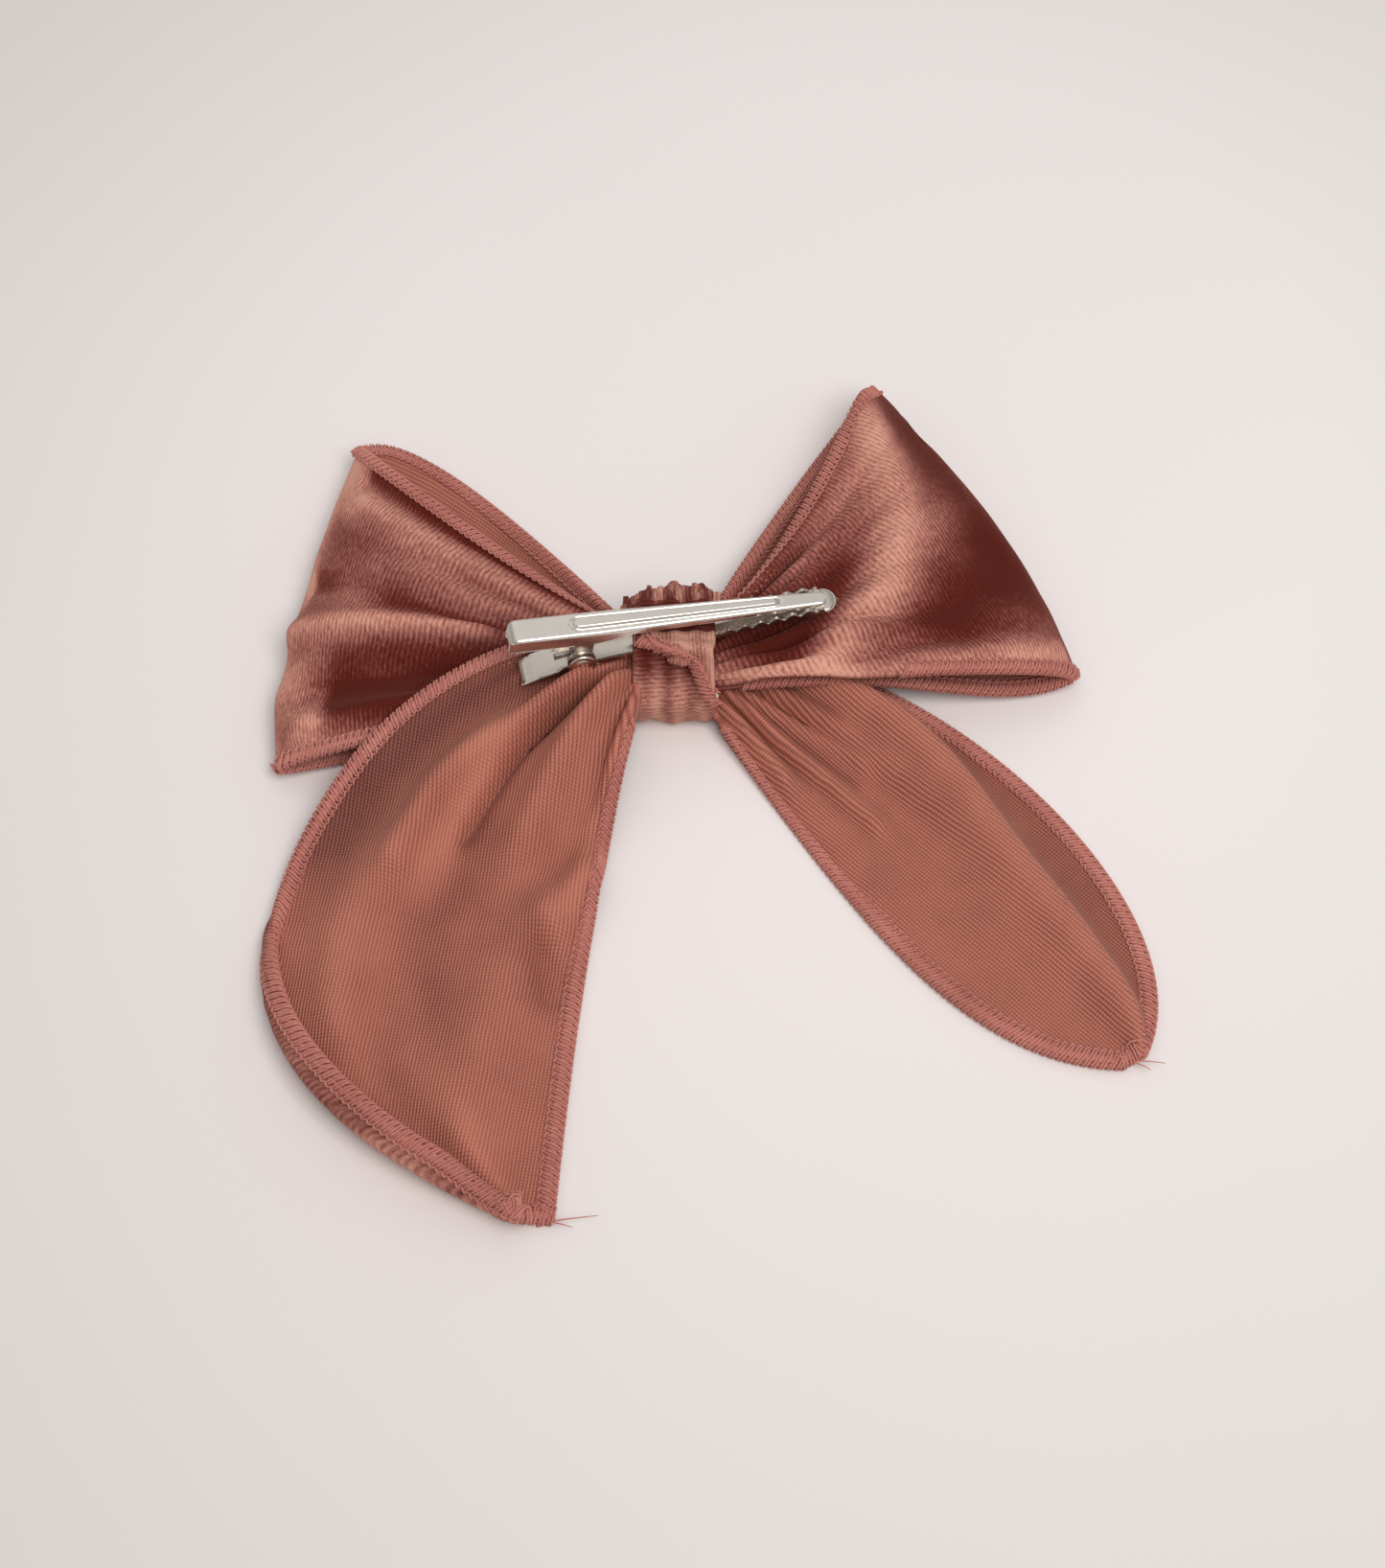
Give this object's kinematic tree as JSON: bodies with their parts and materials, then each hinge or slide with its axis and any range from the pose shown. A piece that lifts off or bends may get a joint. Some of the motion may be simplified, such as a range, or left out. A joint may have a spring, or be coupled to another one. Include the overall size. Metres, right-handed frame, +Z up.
{
  "type": "bow hair clip",
  "caption": "Velvet bow barrette lying face down: two open gathered loops, two tails and a knotted band on a sprung single-prong metal clip that pinches the hair.",
  "frame": {"origin": "middle of the knot's flat underside, on the surface the bow lies on", "axes": "+X along the bow to the tip of the clip, +Y across it towards the tops of the loops, +Z up from the bow's front face to the clip"},
  "size_m": [0.1309, 0.1432, 0.0203],
  "materials": {
    "velvet": "crushed stretch velvet, dusty rose, soft sheen",
    "knit_reverse": "fine warp-knit reverse of the velvet, matte with a slight sheen",
    "overlock_thread": "textured rose overlock thread",
    "clip_steel": "bright plated pressed steel",
    "spring_steel": "bright drawn wire",
    "hot_glue": "milky set glue"
  },
  "bodies": {
    "bow": {"left_loop": "velvet", "right_loop": "velvet", "left_tail": "knit_reverse", "right_tail": "knit_reverse", "waist": "velvet", "gather_thread": "overlock_thread", "centre_band": "velvet", "band_end": "velvet", "left_loop_stitching": "overlock_thread", "right_loop_stitching": "overlock_thread", "left_tail_stitching": "overlock_thread", "right_tail_stitching": "overlock_thread", "band_stitching": "overlock_thread", "glue_pad": "hot_glue", "glue_dab": "hot_glue", "lower_jaw": "clip_steel", "pivot_pin": "clip_steel", "torsion_spring": "spring_steel"},
    "upper_jaw": {"upper_jaw": "clip_steel"}
  },
  "joints": [
    {"name": "jaw_pivot", "type": "hinge", "parent": "bow", "child": "upper_jaw", "pos_m": [-0.0138, -0.0013, 0.0129], "axis": [0.2147, -0.9767, 0], "range_deg": [0, 30], "stiffness_Nm_per_rad": 0.05, "springref_deg": -57.3, "deforming": ["torsion_spring"]}
  ]
}
